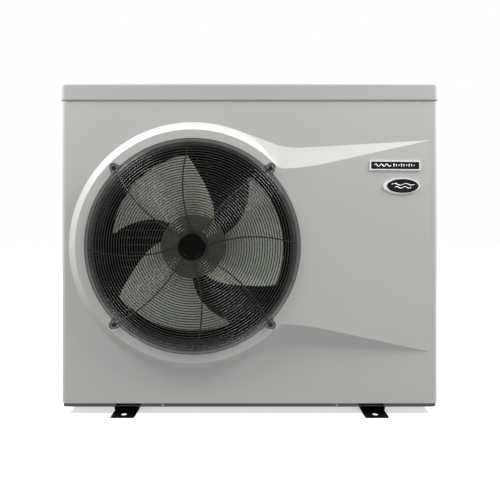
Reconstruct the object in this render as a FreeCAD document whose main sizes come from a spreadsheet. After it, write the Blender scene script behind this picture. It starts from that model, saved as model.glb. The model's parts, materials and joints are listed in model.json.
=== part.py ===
"""Swimming-pool heat pump, outdoor unit: parametric model in millimetres.

The unit stands on the ground (z = 0) with +Z up. Its front faces -Y and the person in front of it
has +X on the right. The origin is on the ground, midway between the four foot holes.
Every driving size is a cell of the spreadsheet "Sizes". Each separate piece is one document object
whose Label is the name of its file.
"""
import FreeCAD, Part
import math
import os
import re
import Sketcher

Vector = FreeCAD.Vector
doc = FreeCAD.newDocument("PoolHeatPump")

# ---------------------------------------------------------------- driving sizes (mm, degrees)
SIZES = {
    # cabinet
    "width": 1000, "height": 878, "depth": 410, "skin": 2.5, "sheet": 1.5, "corner_r": 12,
    "lid_high": 47.3, "lid_overhang": 2, "lid_edge_r": 10, "panel_bottom": 30, "panel_top": 860,
    "return_deep": 42, "pan_wall": 38, "rear_return": 30,
    # feet
    "foot_high": 20, "foot_long": 456, "foot_rail": 360, "foot_x": 331, "foot_web": 62, "foot_top": 70,
    "foot_flange": 96, "foot_thick": 2.5, "foot_hole": 16, "foot_hole_span": 412, "foot_corner": 4,
    "foot_bolt_x": 41.5, "foot_bolt_y": 150, "bolt_r": 2.5, "bolt_head_r": 4.5, "bolt_head": 3.5,
    "pan_notch": 66, "notch_lean": 10,
    "pan_inset": 4.5, "pan_screw_x": 230, "pan_screw_z": 25.2, "drain_x": 60, "drain_y": 133,
    # fan opening and raised field of the front panel
    "fan_x": -149, "fan_z": 445, "opening_r": 281, "lip": 9, "raise": 20, "rim_chamfer": 1.2,
    "joggle": 1.2, "joggle_z": 823.5,
    "field_x": -150, "field_outer": 327, "field_inner": 304,
    "field_leave": 70, "ear_angle": 45, "wing_x": 161, "wing_z": 261, "tip_x": 476, "tip_z": 279,
    "wing_fillet": 175, "wing_drop": 55, "notch_fillet": 29, "ease_x": 150, "ease_r": 1600,
    "ear_r": 300, "ear_tip": 10, "ear_base": 17, "ear_gap": 1.2, "ear_screw": 287,
    # duct ring
    "duct_front": 278.5, "duct_throat": 262, "duct_deep": 112, "bell_deep": 28, "duct_wall": 2.5, "ear_thick": 3,
    # wire guard
    "ring_first": 47.5, "ring_pitch": 6.72, "ring_count": 34, "wire": 2.8, "spoke": 4, "spoke_bow": 22,
    "spoke_start": 36.2, "spoke_rim": 270.5, "guard_plane": 6, "mount_r": 39.5, "mount_thick": 3, "rim_lead": 1.5,
    "eyelet_r": 6.5, "screw_r": 2.4, "screw_head_r": 5, "screw_head": 2.6, "cap_r": 35.5, "cap_thick": 8,
    # motor and impeller
    "stator_r": 58, "rotor_r": 68, "rotor_wall": 5, "rotor_deep": 82, "shaft_r": 8, "bearing_r": 14,
    "bearing_wide": 11, "hub_r": 83, "hub_eye_r": 38, "hub_web": 1.5, "hub_lead": 12.5,
    "blade_front": 38, "blade_rear": 116, "blade_thick": 3, "blade_count": 3,
    # evaporator coil
    "coil_thick": 38, "coil_bend": 90, "coil_left": 486, "coil_rear": 193, "coil_right": 138,
    "coil_front": 150, "coil_top": 835, "tube_r": 4.8, "tube_pitch": 25.4, "end_plate": 2,
    "partition_x": 165, "grid_wire": 2.4, "grid_pitch": 40,
    # compressor and its accumulator
    "comp_x": 330, "comp_y": -60, "comp_r": 62, "comp_low": 52, "comp_high": 335, "acc_r": 30,
    "acc_gap": 12, "acc_low": 90, "acc_high": 300, "grommet_r": 14, "grommet_high": 24,
    "stud_circle": 92, "term_r": 32, "term_high": 24,
    # pool-water heat exchanger and its pipes
    "hx_x": 390, "hx_y": 95, "hx_r": 85, "hx_wall": 5, "hx_low": 60, "hx_high": 610, "hx_cap": 18,
    "port_x": 20, "ti_r": 56, "ti_tube": 7, "ti_pitch": 34, "inlet_z": 150, "outlet_z": 520,
    "stub_r": 28, "stub_bore": 22, "stub_end": 218, "socket_r": 25.1, "socket_deep": 31,
    "tail_r": 29, "collar_r": 33, "collar": 6, "nut_r": 40, "nut_lip": 8, "fit_gap": 0.3,
    # refrigerant parts
    "valve_x": 262, "valve_y": 10, "valve_z": 470, "valve_r": 17, "valve_long": 104, "port_r": 7,
    "pipe_r": 6, "pipe_thin": 4, "pipe_bend": 22,
    # electrical box
    "ebox_x": 186, "ebox_wide": 290, "ebox_y": -186, "ebox_deep": 230, "ebox_z": 660, "ebox_high": 170,
    # front badges
    "bar_x": 381.6, "bar_z": 656.7, "bar_wide": 135, "bar_high": 25.5, "bar_edge": 3.2, "badge_thick": 2,
    "oval_x": 398.6, "oval_z": 603, "oval_wide": 98, "oval_high": 42, "oval_face_x": 401.6,
    "oval_face_wide": 84, "oval_face_high": 36,
    # controller in the right side
    "ctl_y": -60, "ctl_z": 567, "ctl_wide": 124, "ctl_high": 94, "ctl_deep": 30, "ctl_wall": 3,
    "ctl_pocket": 9, "flap_thick": 3, "hinge_r": 2.6, "button_r": 6, "button_pitch": 24,
    "button_proud": 2.4, "screen_wide": 78, "screen_high": 36,
}
table = doc.addObject("Spreadsheet::Sheet", "Sizes")
for row, (name, amount) in enumerate(SIZES.items(), start=1):
    table.set(f"A{row}", name)
    table.set(f"B{row}", str(amount))
    table.setAlias(f"B{row}", name)
doc.recompute()

pieces = {}


# ---------------------------------------------------------------- helpers
def sheet_terms(text):
    """Turn plain size names into references to the spreadsheet."""
    functions = ("sin", "cos", "atan")
    return re.sub(r"[a-z]+(?:_[a-z]+)*",
                  lambda word: word.group(0) if word.group(0) in functions else "Sizes." + word.group(0),
                  str(text))


def number(text):
    """The present value of an expression in the spreadsheet's names."""
    return float(table.evalExpression(sheet_terms(text)))


def bind(obj, prop, text):
    obj.setExpression(prop, sheet_terms(text))


def put(obj, at, turn=None):
    """Place an object; each coordinate stays bound to the sheet. turn is (axis, degrees)."""
    if turn:
        obj.Placement = FreeCAD.Placement(Vector(), FreeCAD.Rotation(Vector(*turn[0]), turn[1]))
    for letter, text in zip("xyz", at):
        bind(obj, f"Placement.Base.{letter}", text)
    return obj


def label(obj, name):
    """Make an object one of the unit's pieces."""
    obj.Label = name
    pieces[name] = obj
    return obj


def box(name, size, at):
    obj = doc.addObject("Part::Box", name)
    for prop, text in zip(("Length", "Width", "Height"), size):
        bind(obj, prop, text)
    return put(obj, at)


def upright_rounding(base, radius):
    """Round the four upright edges of a box."""
    doc.recompute()
    obj = doc.addObject("Part::Fillet", base.Name + "_rounded")
    obj.Base = base
    uprights = [index for index, edge in enumerate(base.Shape.Edges, start=1) if along("z")(edge)]
    obj.Edges = [(index, number(radius), number(radius)) for index in uprights]
    return obj


TO_FRONT = ((1, 0, 0), 90)      # turns local +Z to -Y
TO_REAR = ((1, 0, 0), -90)      # turns local +Z to +Y
TO_RIGHT = ((0, 1, 0), 90)      # turns local +Z to +X


def rod(name, radius, length, at, turn=None):
    obj = doc.addObject("Part::Cylinder", name)
    bind(obj, "Radius", radius)
    bind(obj, "Height", length)
    return put(obj, at, turn)


def cut(name, base, *tools):
    """Base with every tool taken away."""
    obj = doc.addObject("Part::Cut", name)
    obj.Base = base
    obj.Tool = tools[0] if len(tools) == 1 else group(name + "_tools", tools)
    return obj


def fuse(name, *members):
    obj = doc.addObject("Part::MultiFuse", name)
    obj.Shapes = list(members)
    obj.Refine = True
    return obj


def group(name, members):
    """Separate solids that share one piece, such as a set of equal screws."""
    obj = doc.addObject("Part::Compound", name)
    obj.Links = list(members)
    return obj


def made(name, shape, at=(0, 0, 0)):
    """A piece whose shape comes from Part's own functions."""
    obj = doc.addObject("Part::Feature", name)
    obj.Shape = shape
    return label(put(obj, at), name)


def plane(body, role):
    return next(item for item in body.Origin.OriginFeatures if item.Role == role)


def outline(body, role, corners=(), circles=(), name="outline"):
    """A sketch of one closed polygon and any circles, every coordinate bound to the sheet."""
    sketch = body.newObject("Sketcher::SketchObject", name)
    sketch.AttachmentSupport = [(plane(body, role), "")]
    sketch.MapMode = "FlatFace"
    spots = [Vector(number(x), number(y), 0) for x, y in corners]
    count = len(spots)
    for index in range(count):
        sketch.addGeometry(Part.LineSegment(spots[index], spots[(index + 1) % count]), False)
    for index in range(count):
        sketch.addConstraint(Sketcher.Constraint("Coincident", index, 2, (index + 1) % count, 1))
    for index, corner in enumerate(corners):
        for kind, text in zip(("DistanceX", "DistanceY"), corner):
            where = sketch.addConstraint(Sketcher.Constraint(kind, -1, 1, index, 1, number(text)))
            sketch.setExpression(f"Constraints[{where}]", sheet_terms(text))
    for x, y, radius in circles:
        ring = Part.Circle(Vector(number(x), number(y), 0), Vector(0, 0, 1), number(radius))
        item = sketch.addGeometry(ring, False)
        bound = (("DistanceX", (-1, 1, item, 3), x), ("DistanceY", (-1, 1, item, 3), y),
                 ("Radius", (item,), radius))
        for kind, target, text in bound:
            where = sketch.addConstraint(Sketcher.Constraint(kind, *target, number(text)))
            sketch.setExpression(f"Constraints[{where}]", sheet_terms(text))
    return sketch


def new_body(name):
    return doc.addObject("PartDesign::Body", name)


def pad(body, sketch, length, centred=False, name="pad"):
    feature = body.newObject("PartDesign::Pad", name)
    feature.Profile = sketch
    bind(feature, "Length", length)
    feature.SideType = "Symmetric" if centred else "One side"
    doc.recompute()
    return feature


def turned(name, profile, at, turn=None):
    """A turned piece: the (radius, height) profile goes round the body's own Z axis."""
    body = new_body(name)
    sketch = outline(body, "XZ_Plane", profile, name=name + "_profile")
    feature = body.newObject("PartDesign::Revolution", name + "_turn")
    feature.Profile = sketch
    feature.ReferenceAxis = (sketch, ["V_Axis"])
    feature.Angle = 360
    doc.recompute()
    return put(body, at, turn)


def rounded(body, radius, choose, name="rounding"):
    """Round every edge of the body's present tip that choose(edge) accepts."""
    base = body.Tip
    names = [f"Edge{index}" for index, edge in enumerate(base.Shape.Edges, start=1) if choose(edge)]
    feature = body.newObject("PartDesign::Fillet", name)
    feature.Base = (base, names)
    bind(feature, "Radius", radius)
    doc.recompute()
    return feature


def along(letter):
    """A test for straight edges parallel to one axis."""
    def test(edge):
        run = edge.Vertexes[-1].Point - edge.Vertexes[0].Point
        others = [abs(getattr(run, other)) for other in "xyz" if other != letter]
        return edge.Curve.TypeId == "Part::GeomLine" and max(others) < 1e-6
    return test


# ---------------------------------------------------------------- cabinet
def foot(side):
    """A hat-section rail, front to back, with a drilled tab at each end."""
    name = "foot_left" if side < 0 else "foot_right"
    body = new_body(name)
    low, top = "foot_web / 2", "foot_top / 2"
    hat = [(f"-{low}", 0), (low, 0), (top, "foot_high - foot_thick"),
           ("foot_flange / 2", "foot_high - foot_thick"), ("foot_flange / 2", "foot_high"),
           (f"{top} - foot_thick", "foot_high"), (f"{low} - foot_thick", "foot_thick"),
           (f"foot_thick - {low}", "foot_thick"), (f"foot_thick - {top}", "foot_high"),
           ("-foot_flange / 2", "foot_high"), ("-foot_flange / 2", "foot_high - foot_thick"),
           (f"-{top}", "foot_high - foot_thick")]
    pad(body, outline(body, "XZ_Plane", hat, name="hat_section"), "foot_rail", True, "rail")
    half = "foot_long / 2"
    corners = [(f"-{low}", f"-{half}"), (low, f"-{half}"), (low, half), (f"-{low}", half)]
    pad(body, outline(body, "XY_Plane", corners, name="web_outline"), "foot_thick", False, "web")
    rounded(body, "foot_corner", lambda edge: along("z")(edge) and abs(edge.Vertexes[0].Y) > number(half) - 1)
    holes = [(0, "foot_hole_span / 2", "foot_hole / 2"), (0, "-foot_hole_span / 2", "foot_hole / 2")]
    bolt_x, bolt_y, bolt_r = "foot_bolt_x", "foot_bolt_y", "bolt_r + 0.3"
    holes += [(f"{x}{bolt_x}", f"{y}{bolt_y}", bolt_r) for x in ("", "-") for y in ("", "-")]
    pocket = body.newObject("PartDesign::Pocket", "holes")
    pocket.Profile = outline(body, "XY_Plane", circles=holes, name="hole_circles")
    pocket.Type = "ThroughAll"
    pocket.SideType = "Symmetric"
    doc.recompute()
    label(put(body, (f"{side} * foot_x", 0, 0)), name)


def foot_bolt_spots():
    for side in (-1, 1):
        for x in ("", "-"):
            for y in ("", "-"):
                yield f"{side} * foot_x + {x}foot_bolt_x", f"{y}foot_bolt_y"


def base_pan():
    side, front = "pan_inset", "depth / 2 - skin"
    inner = box("pan_inside", (f"width - 2 * ({side} + sheet)", f"2 * ({front} - sheet)", "pan_wall"),
                (f"-width / 2 + {side} + sheet", f"-({front} - sheet)", "foot_high + sheet"))
    outer = box("pan_outside", (f"width - 2 * {side}", f"2 * ({front})", "pan_wall"),
                (f"-width / 2 + {side}", f"-({front})", "foot_high"))
    holes = [rod("pan_hole", "bolt_r + 0.3", "sheet * 4", (x, y, "foot_high - sheet"))
             for x, y in foot_bolt_spots()]
    holes.append(rod("pan_drain", "port_r + 0.3", "sheet * 4", ("drain_x", "drain_y", "foot_high - sheet")))
    holes += [rod("pan_screw_hole", "screw_r + 0.2", "sheet * 4",
                  (f"{side} * pan_screw_x", f"-({front}) + 2 * sheet", "pan_screw_z"), TO_FRONT)
              for side in (-1, 1)]
    holes += [box("foot_notch", ("pan_notch", "sheet * 4", "panel_bottom - foot_high"),
                  (f"{side} * (foot_x - notch_lean) - pan_notch / 2", f"-({front}) - sheet", "foot_high"))
              for side in (-1, 1)]
    outer = upright_rounding(outer, "corner_r - pan_inset + 3.5")
    inner = upright_rounding(inner, "corner_r - pan_inset + 3.5 - sheet")
    label(cut("pan", cut("pan_tray", outer, inner), *holes), "base_pan")


def foot_bolts():
    members = []
    for x, y in foot_bolt_spots():
        head = rod("bolt_head", "bolt_head_r", "bolt_head", (x, y, "foot_high + sheet"))
        shank = rod("bolt_shank", "bolt_r", "sheet + foot_thick + 3", (x, y, "foot_high - foot_thick - 3"))
        members.append(fuse("bolt", head, shank))
    label(group("bolts", members), "foot_bolts")


def top_cover():
    body = new_body("lid")
    half_x, half_y = "width / 2", "depth / 2 + lid_overhang"
    corners = [(f"-({half_x})", f"-({half_y})"), (half_x, f"-({half_y})"),
               (half_x, half_y), (f"-({half_x})", half_y)]
    pad(body, outline(body, "XY_Plane", corners), "lid_high")
    rounded(body, "corner_r + lid_overhang", along("z"), "corners")
    top = number("lid_high")
    rounded(body, "lid_edge_r", lambda edge: min(v.Z for v in edge.Vertexes) > top - 0.01, "top_edges")
    base = body.Tip
    under = next(f"Face{index}" for index, face in enumerate(base.Shape.Faces, start=1)
                 if abs(face.CenterOfMass.z) < 1e-6)
    hollow = body.newObject("PartDesign::Thickness", "hollow")
    hollow.Base = (base, [under])
    bind(hollow, "Value", "sheet")
    hollow.Reversed = True
    doc.recompute()
    put(body, (0, 0, "height - lid_high"))
    holes = [rod("lid_hole", "screw_r + 0.2", 12, (f"{s} * (width / 2 + 4)", y, "height - lid_high + 16"),
                 ((0, 1, 0), -90 * s)) for s in (-1, 1) for y in ("-120", "120")]
    label(cut("lid_drilled", body, *holes), "top_cover")


def cabinet_screws():
    """Pan-head screws: four through the skirt of the top cover, two in the front of the base pan."""
    members = []
    for side in (-1, 1):
        for y in (-120, 120):
            turn = ((0, 1, 0), 90 * side)
            seat = (f"{side} * width / 2", y, LID_SCREW_Z)
            head = rod("head", "screw_head_r", "screw_head - 0.6", seat, turn)
            shank = rod("shank", "screw_r", 8, (f"{side} * (width / 2 - 6)", y, LID_SCREW_Z), turn)
            members.append(fuse("screw", head, shank))
    for side in (-1, 1):
        seat = "-depth / 2 + skin"
        head = rod("head", "screw_head_r - 1.4", 2, (f"{side} * pan_screw_x", seat, "pan_screw_z"), TO_FRONT)
        shank = rod("shank", "screw_r", 8, (f"{side} * pan_screw_x", f"{seat} + 6", "pan_screw_z"), TO_FRONT)
        members.append(fuse("screw", head, shank))
    label(group("screw_set", members), "cabinet_screws")


def wrap_panel(side, return_to):
    """Sheet panel down one side that turns the rear corner; a plan profile raised to full height."""
    wide = side * (number("width / 2") - number("lid_overhang"))
    rear, r, t = number("depth / 2"), number("corner_r"), number("sheet")
    front = number("-depth / 2 + return_deep + 0.5")
    back = number(return_to)
    centre = Vector(wide - side * r, rear - r, 0)

    def run(inset):
        reach = r - inset
        a = Vector(wide - side * inset, front, 0)
        b = centre + Vector(side * reach, 0, 0)
        m = centre + Vector(side * reach * math.sqrt(0.5), reach * math.sqrt(0.5), 0)
        c = centre + Vector(0, reach, 0)
        return a, b, m, c, Vector(back, rear - inset, 0)

    a, b, m, c, d = run(0)
    e, f, n, g, k = run(t)
    edges = [Part.makeLine(a, b), Part.Arc(b, m, c).toShape(), Part.makeLine(c, d), Part.makeLine(d, k),
             Part.makeLine(k, g), Part.Arc(g, n, f).toShape(), Part.makeLine(f, e), Part.makeLine(e, a)]
    face = Part.Face(Part.Wire(edges))
    rise = number("panel_top") - number("panel_bottom")
    solid = face.extrude(Vector(0, 0, rise))
    solid.translate(Vector(0, 0, number("panel_bottom")))
    return solid


def cabinet_panels():
    t = number("sheet")
    wide = number("width / 2") - number("lid_overhang")
    left = wrap_panel(-1, "-width / 2 + rear_return")
    window = Part.makeBox(10, 290, 730, Vector(-wide - 5, -140, 75))
    holes = [Part.makeCylinder(number("screw_r") + 0.2, 12, Vector(s * (wide + 6), y, number(LID_SCREW_Z)),
                               Vector(-s, 0, 0)) for s in (-1, 1) for y in (-120, 120)]
    made("left_side_frame", left.cut(Part.Compound([window] + holes)))
    right = wrap_panel(1, "width / 2 - rear_return")
    ctl = Part.makeBox(10, number("ctl_wide") + 1, number("ctl_high") + 1,
                       Vector(wide - 5, number("ctl_y - ctl_wide / 2") - 0.5,
                              number("ctl_z - ctl_high / 2") - 0.5))
    made("right_side_panel", right.cut(Part.Compound([ctl] + holes)))
    x0, x1 = number("coil_right") - 2, number("width / 2 - rear_return") - 0.3
    low, top = number("panel_bottom"), number("panel_top")
    rear = Part.makeBox(x1 - x0, t, top - low, Vector(x0, number("depth / 2") - t, low))
    cuts = [Part.makeCylinder(number("stub_r") + 1, 10, Vector(number("hx_x"), number("depth / 2") - 5,
                                                            number(z)), Vector(0, 1, 0))
            for z in ("inlet_z", "outlet_z")]
    cuts.append(Part.makeCylinder(GLAND_THREAD + 0.3, 10, Vector(GLAND_X, number("depth / 2") - 5, GLAND_Z),
                                  Vector(0, 1, 0)))
    made("rear_service_panel", rear.cut(Part.Compound(cuts)))


LID_SCREW_Z = "height - lid_high + 16"
GLAND_X, GLAND_Z, GLAND_THREAD = 240, 740, 10


def wire_grid(name, across, up, length_way, origin):
    """A welded grid: upright and level wires fused at every crossing."""
    r, pitch = number("grid_wire / 2"), number("grid_pitch")
    side = Vector(*length_way)
    thick = side.cross(Vector(0, 0, 1))
    count_x = int(across // pitch) + 1
    count_z = int(up // (2 * pitch)) + 1
    start = Vector(*origin)
    wires = []
    for index in range(count_x):
        foot_at = start + side * (across * index / (count_x - 1))
        wires.append(Part.makeCylinder(r, up, foot_at, Vector(0, 0, 1)))
    for index in range(count_z):
        level = start + Vector(0, 0, up * index / (count_z - 1)) + thick * (1.6 * r)
        wires.append(Part.makeCylinder(r, across, level, side))
    made(name, wires[0].multiFuse(wires[1:]))


# ---------------------------------------------------------------- front panel
def polar(centre, radius, degrees):
    """A point round a centre in the front plane (x right, z up)."""
    angle = math.radians(degrees)
    return centre + Vector(radius * math.cos(angle), 0, radius * math.sin(angle))


def crossing(p, p_way, q, q_way):
    """Where two lines of the front plane meet."""
    det = p_way.x * q_way.z - p_way.z * q_way.x
    gap = q - p
    return p + p_way * ((gap.x * q_way.z - gap.z * q_way.x) / det)


def corner_arc(before, corner, after, radius):
    """The tangent arc that rounds a corner, with its two tangent points."""
    a = (before - corner).normalize()
    b = (after - corner).normalize()
    half = math.acos(max(-1, min(1, a.dot(b)))) / 2
    start = corner + a * (radius / math.tan(half))
    end = corner + b * (radius / math.tan(half))
    middle_way = (a + b).normalize()
    centre = corner + middle_way * (radius / math.sin(half))
    return start, centre - middle_way * radius, end


def field_outline(y, radius, leave, wing_lift, fillet, split):
    """Outline of the raised field in the plane y: the big circle and the two wings towards +X.

    The circle is left at the angle leave along its tangent, which runs into the wing's straight edge.
    split adds a point on the circle so that the two outlines of the bevel match edge for edge.
    """
    centre = Vector(number("field_x"), y, number("fan_z"))
    wing = Vector(number("wing_x"), y, number("fan_z + wing_z") + wing_lift)
    tip = Vector(number("tip_x"), y, number("fan_z + tip_z") + wing_lift)
    way = (tip - wing).normalize()
    start = polar(centre, radius, leave)
    tangent = Vector(math.sin(math.radians(leave)), 0, -math.cos(math.radians(leave)))
    meet = crossing(start, tangent, wing, way)
    a, m, b = corner_arc(start, meet, tip, fillet)
    far = wing + way * ((number("width / 2") - wing.x) / way.x)
    if split:
        top = polar(centre, radius, split)
        between = polar(centre, radius, (split + leave) / 2)
        upper = [Part.Arc(top, between, start).toShape(), Part.makeLine(start, a)]
    else:
        top = start
        middle = start + (a - start) * 0.5
        upper = [Part.makeLine(start, middle), Part.makeLine(middle, a)]
    upper += [Part.Arc(a, m, b).toShape(), Part.makeLine(b, far)]
    mirror = centre
    lower = [edge.mirror(mirror, Vector(0, 0, 1)) for edge in upper]
    low_far = Vector(far.x, y, 2 * centre.z - far.z)
    low_top = Vector(top.x, y, 2 * centre.z - top.z)
    left = Vector(centre.x - radius, y, centre.z)
    return Part.Wire(upper + [Part.makeLine(far, low_far)] + lower[::-1]
                     + [Part.Arc(low_top, left, top).toShape()])


def field_block(back):
    """Solid of the raised field, shifted back by the skin for its inside."""
    base, rise = -number("depth / 2"), number("raise")
    leave = number("field_leave")
    outer = field_outline(base, number("field_outer"), leave, 0, number("wing_fillet"), None)
    inner = field_outline(base - rise, number("field_inner"), number("ear_angle"), -number("wing_drop"),
                          number("notch_fillet"), leave)
    block = Part.makeLoft([outer, inner], True, True)
    # the field is level round the fan, then a large arc eases it down to nothing at the wing tips
    ease, tip, r = number("ease_x"), number("tip_x"), number("ease_r")
    slope = math.atan2(rise, tip - ease)
    reach = r * math.tan(slope / 2)
    way = Vector(tip - ease, rise, 0).normalize()
    a = Vector(ease - reach, base - rise, 0)
    b = Vector(ease, base - rise, 0) + way * reach
    m = Vector(a.x + r * math.sin(slope / 2), a.y + r * (1 - math.cos(slope / 2)), 0)
    end = Vector(tip, base, 0)
    far = -number("width / 2")
    profile = Part.Wire([Part.makeLine(Vector(far, base - rise, 0), a), Part.Arc(a, m, b).toShape(),
                         Part.makeLine(b, end), Part.makeLine(end, Vector(far, base, 0)),
                         Part.makeLine(Vector(far, base, 0), Vector(far, base - rise, 0))])
    under = Part.Face(profile).extrude(Vector(0, 0, number("height")))
    solid = block.common(under)
    solid.translate(Vector(0, back, 0))
    return solid


def ear_shape(y, deep, grow):
    """The four rounded ears round the fan, as one solid that reaches in to the opening."""
    centre = Vector(number("fan_x"), y, number("fan_z"))
    tip_r = number("ear_tip") + grow
    tip_at, base_r = number("ear_r - ear_tip"), number("opening_r") - 6
    half = number("ear_base") + grow
    ears = []
    for turn in range(4):
        angle = number("ear_angle") + 90 * turn
        out = polar(Vector(), 1, angle)
        side = Vector(-out.z, 0, out.x)
        tip = centre + out * tip_at
        root = centre + out * base_r
        neck = Part.makePolygon([root - side * half, tip - side * tip_r, tip + side * tip_r,
                                 root + side * half, root - side * half])
        ears.append(Part.Face(neck).extrude(Vector(0, deep, 0)))
        ears.append(Part.makeCylinder(tip_r, deep, tip, Vector(0, 1, 0)))
    return ears[0].multiFuse(ears[1:])


def front_panel():
    skin, r = number("skin"), number("corner_r")
    wide = number("width / 2 - lid_overhang")
    front, low, top = -number("depth / 2"), number("panel_bottom"), number("panel_top")
    deep = number("return_deep")

    def pan(inset):
        start = Vector(inset - wide, front + inset, low)
        block = Part.makeBox(2 * (wide - inset), deep + r, top - low, start)
        edges = [edge for edge in block.Edges
                 if along("z")(edge) and abs(edge.Vertexes[0].Y - front - inset) < 0.01]
        return block.makeFillet(r - inset, edges)

    keep = Part.makeBox(3 * wide, deep, top, Vector(-1.5 * wide, front, 0))
    skin_pan = pan(0).cut(pan(skin)).common(keep)
    shell = skin_pan.fuse(field_block(0)).cut(field_block(skin))
    face = front - number("raise")
    centre = Vector(number("fan_x"), face, number("fan_z"))
    rim, lip, out = number("opening_r"), number("lip"), Vector(0, 1, 0)
    collar = Part.makeCylinder(rim + skin, lip, centre, out)
    shell = shell.fuse(collar)
    shell = shell.cut(Part.makeCylinder(rim, 4 * lip, centre - out * lip, out))
    shell = shell.cut(ear_shape(face - 1, lip + 10, number("ear_gap")))
    # a small chamfer round the opening and round the ends of its ear notches
    bevel = number("rim_chamfer")
    shell = shell.cut(Part.makeCone(rim + bevel, rim, bevel, centre, out))
    for turn in range(4):
        tip = polar(centre, number("ear_r - ear_tip"), number("ear_angle") + 90 * turn)
        notch = number("ear_tip + ear_gap")
        shell = shell.cut(Part.makeCone(notch + bevel, notch, bevel, tip, out))
    # a joggle under the lid steps the skin back
    step, joggle = number("joggle"), number("joggle_z")
    profile = Part.makePolygon([Vector(-wide, front - 1, joggle), Vector(-wide, front, joggle),
                                Vector(-wide, front + step, joggle + 2 * step),
                                Vector(-wide, front + step, top + 1), Vector(-wide, front - 1, top + 1),
                                Vector(-wide, front - 1, joggle)])
    shell = shell.cut(Part.Face(profile).extrude(Vector(2 * wide, 0, 0)))
    made("front_panel", max(shell.Solids, key=lambda solid: solid.Volume))


def on_slope(obj, x, z, lift):
    """Lay a badge on the sloping part of the field, lift millimetres off its face."""
    slope = f"raise / (tip_x - ease_x)"
    obj.Placement = FreeCAD.Placement(Vector(), FreeCAD.Rotation(Vector(0, 0, 1), number(f"atan({slope})")))
    bind(obj, "Placement.Base.x", f"{x} + sin(atan({slope})) * ({lift})")
    bind(obj, "Placement.Base.y", f"-depth / 2 - (tip_x - {x}) * {slope} - cos(atan({slope})) * ({lift})")
    bind(obj, "Placement.Base.z", z)
    return obj


def badges():
    def bar(name, trim, thick):
        wide, high = f"(bar_wide - ({trim}))", f"(bar_high - ({trim}))"
        return box(name, (wide, thick, high), (f"-{wide} / 2", f"-({thick})", f"-{high} / 2"))

    recess = bar("bar_recess", "2 * bar_edge", "badge_thick - 0.8")
    bind(recess, "Placement.Base.y", "-badge_thick - 0.4")
    frame = cut("bar_frame", bar("bar_blank", 0, "badge_thick"), recess)
    label(on_slope(frame, "bar_x", "bar_z", 0.1), "bar_badge_plate")
    inlay = bar("bar_inlay", "2 * bar_edge + 0.4", 0.8)
    bar_face = on_slope(group("bar_inlay_holder", [inlay]), "bar_x", "bar_z", "badge_thick - 0.6")

    def oval(name, wide, high, thick, x, lift):
        rim = doc.addObject("Part::Ellipse", name + "_rim")
        bind(rim, "MajorRadius", f"{wide} / 2")
        bind(rim, "MinorRadius", f"{high} / 2")
        rim.Placement = FreeCAD.Placement(Vector(), FreeCAD.Rotation(Vector(*TO_FRONT[0]), TO_FRONT[1]))
        solid = doc.addObject("Part::Extrusion", name)
        solid.Base = rim
        solid.DirMode = "Custom"
        solid.Dir = (0, -1, 0)
        solid.Solid = True
        bind(solid, "LengthFwd", thick)
        return on_slope(solid, x, "oval_z", lift)

    label(oval("oval_blank", "oval_wide", "oval_high", "badge_thick", "oval_x", 0.1), "oval_badge_plate")
    oval_face = oval("oval_inlay", "oval_face_wide", "oval_face_high", 0.8, "oval_face_x",
                     "badge_thick + 0.15")
    label(group("face_pair", [bar_face, oval_face]), "badge_faces")


# ---------------------------------------------------------------- duct ring, guard and fan
FACE = "-depth / 2 - raise"
EAR_SET_BACK = 0.4


def duct_ring():
    """Bell-mouth ring behind the opening, with a flat mounting ear at each corner."""
    wall = number("duct_wall")
    front, throat, deep = number("duct_front"), number("duct_throat"), number("duct_deep")
    face = number(FACE) + wall + EAR_SET_BACK
    mouth = number("bell_deep")

    def line(shift):
        a = Vector(front + shift - wall, 0, 0)
        m = Vector((front + 3 * throat) / 4 + shift - wall * 0.6, mouth * 0.35, 0)
        b = Vector(throat + shift, mouth, 0)
        return a, m, b, Vector(throat + shift, deep, 0)

    a, m, b, c = line(0)
    e, f, g, k = line(wall)
    wire = Part.Wire([Part.Arc(a, m, b).toShape(), Part.makeLine(b, c), Part.makeLine(c, k),
                      Part.makeLine(k, g), Part.Arc(g, f, e).toShape(), Part.makeLine(e, a)])
    ring = Part.Face(wire).revolve(Vector(), Vector(0, 1, 0), 360)
    ring.translate(Vector(number("fan_x"), face, number("fan_z")))
    ears = ear_shape(face, number("ear_thick"), 0)
    clear = Part.makeCylinder(number("duct_front") - wall / 2, 20,
                              Vector(number("fan_x"), face - 5, number("fan_z")), Vector(0, 1, 0))
    holes = [Part.makeCylinder(number("screw_r") + 0.2, 20,
                               polar(Vector(number("fan_x"), face - 5, number("fan_z")),
                                     number("ear_screw"), number("ear_angle") + 90 * k), Vector(0, 1, 0))
             for k in range(4)]
    made("fan_duct_ring", ring.fuse(ears.cut(clear)).cut(Part.Compound(holes)))


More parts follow.
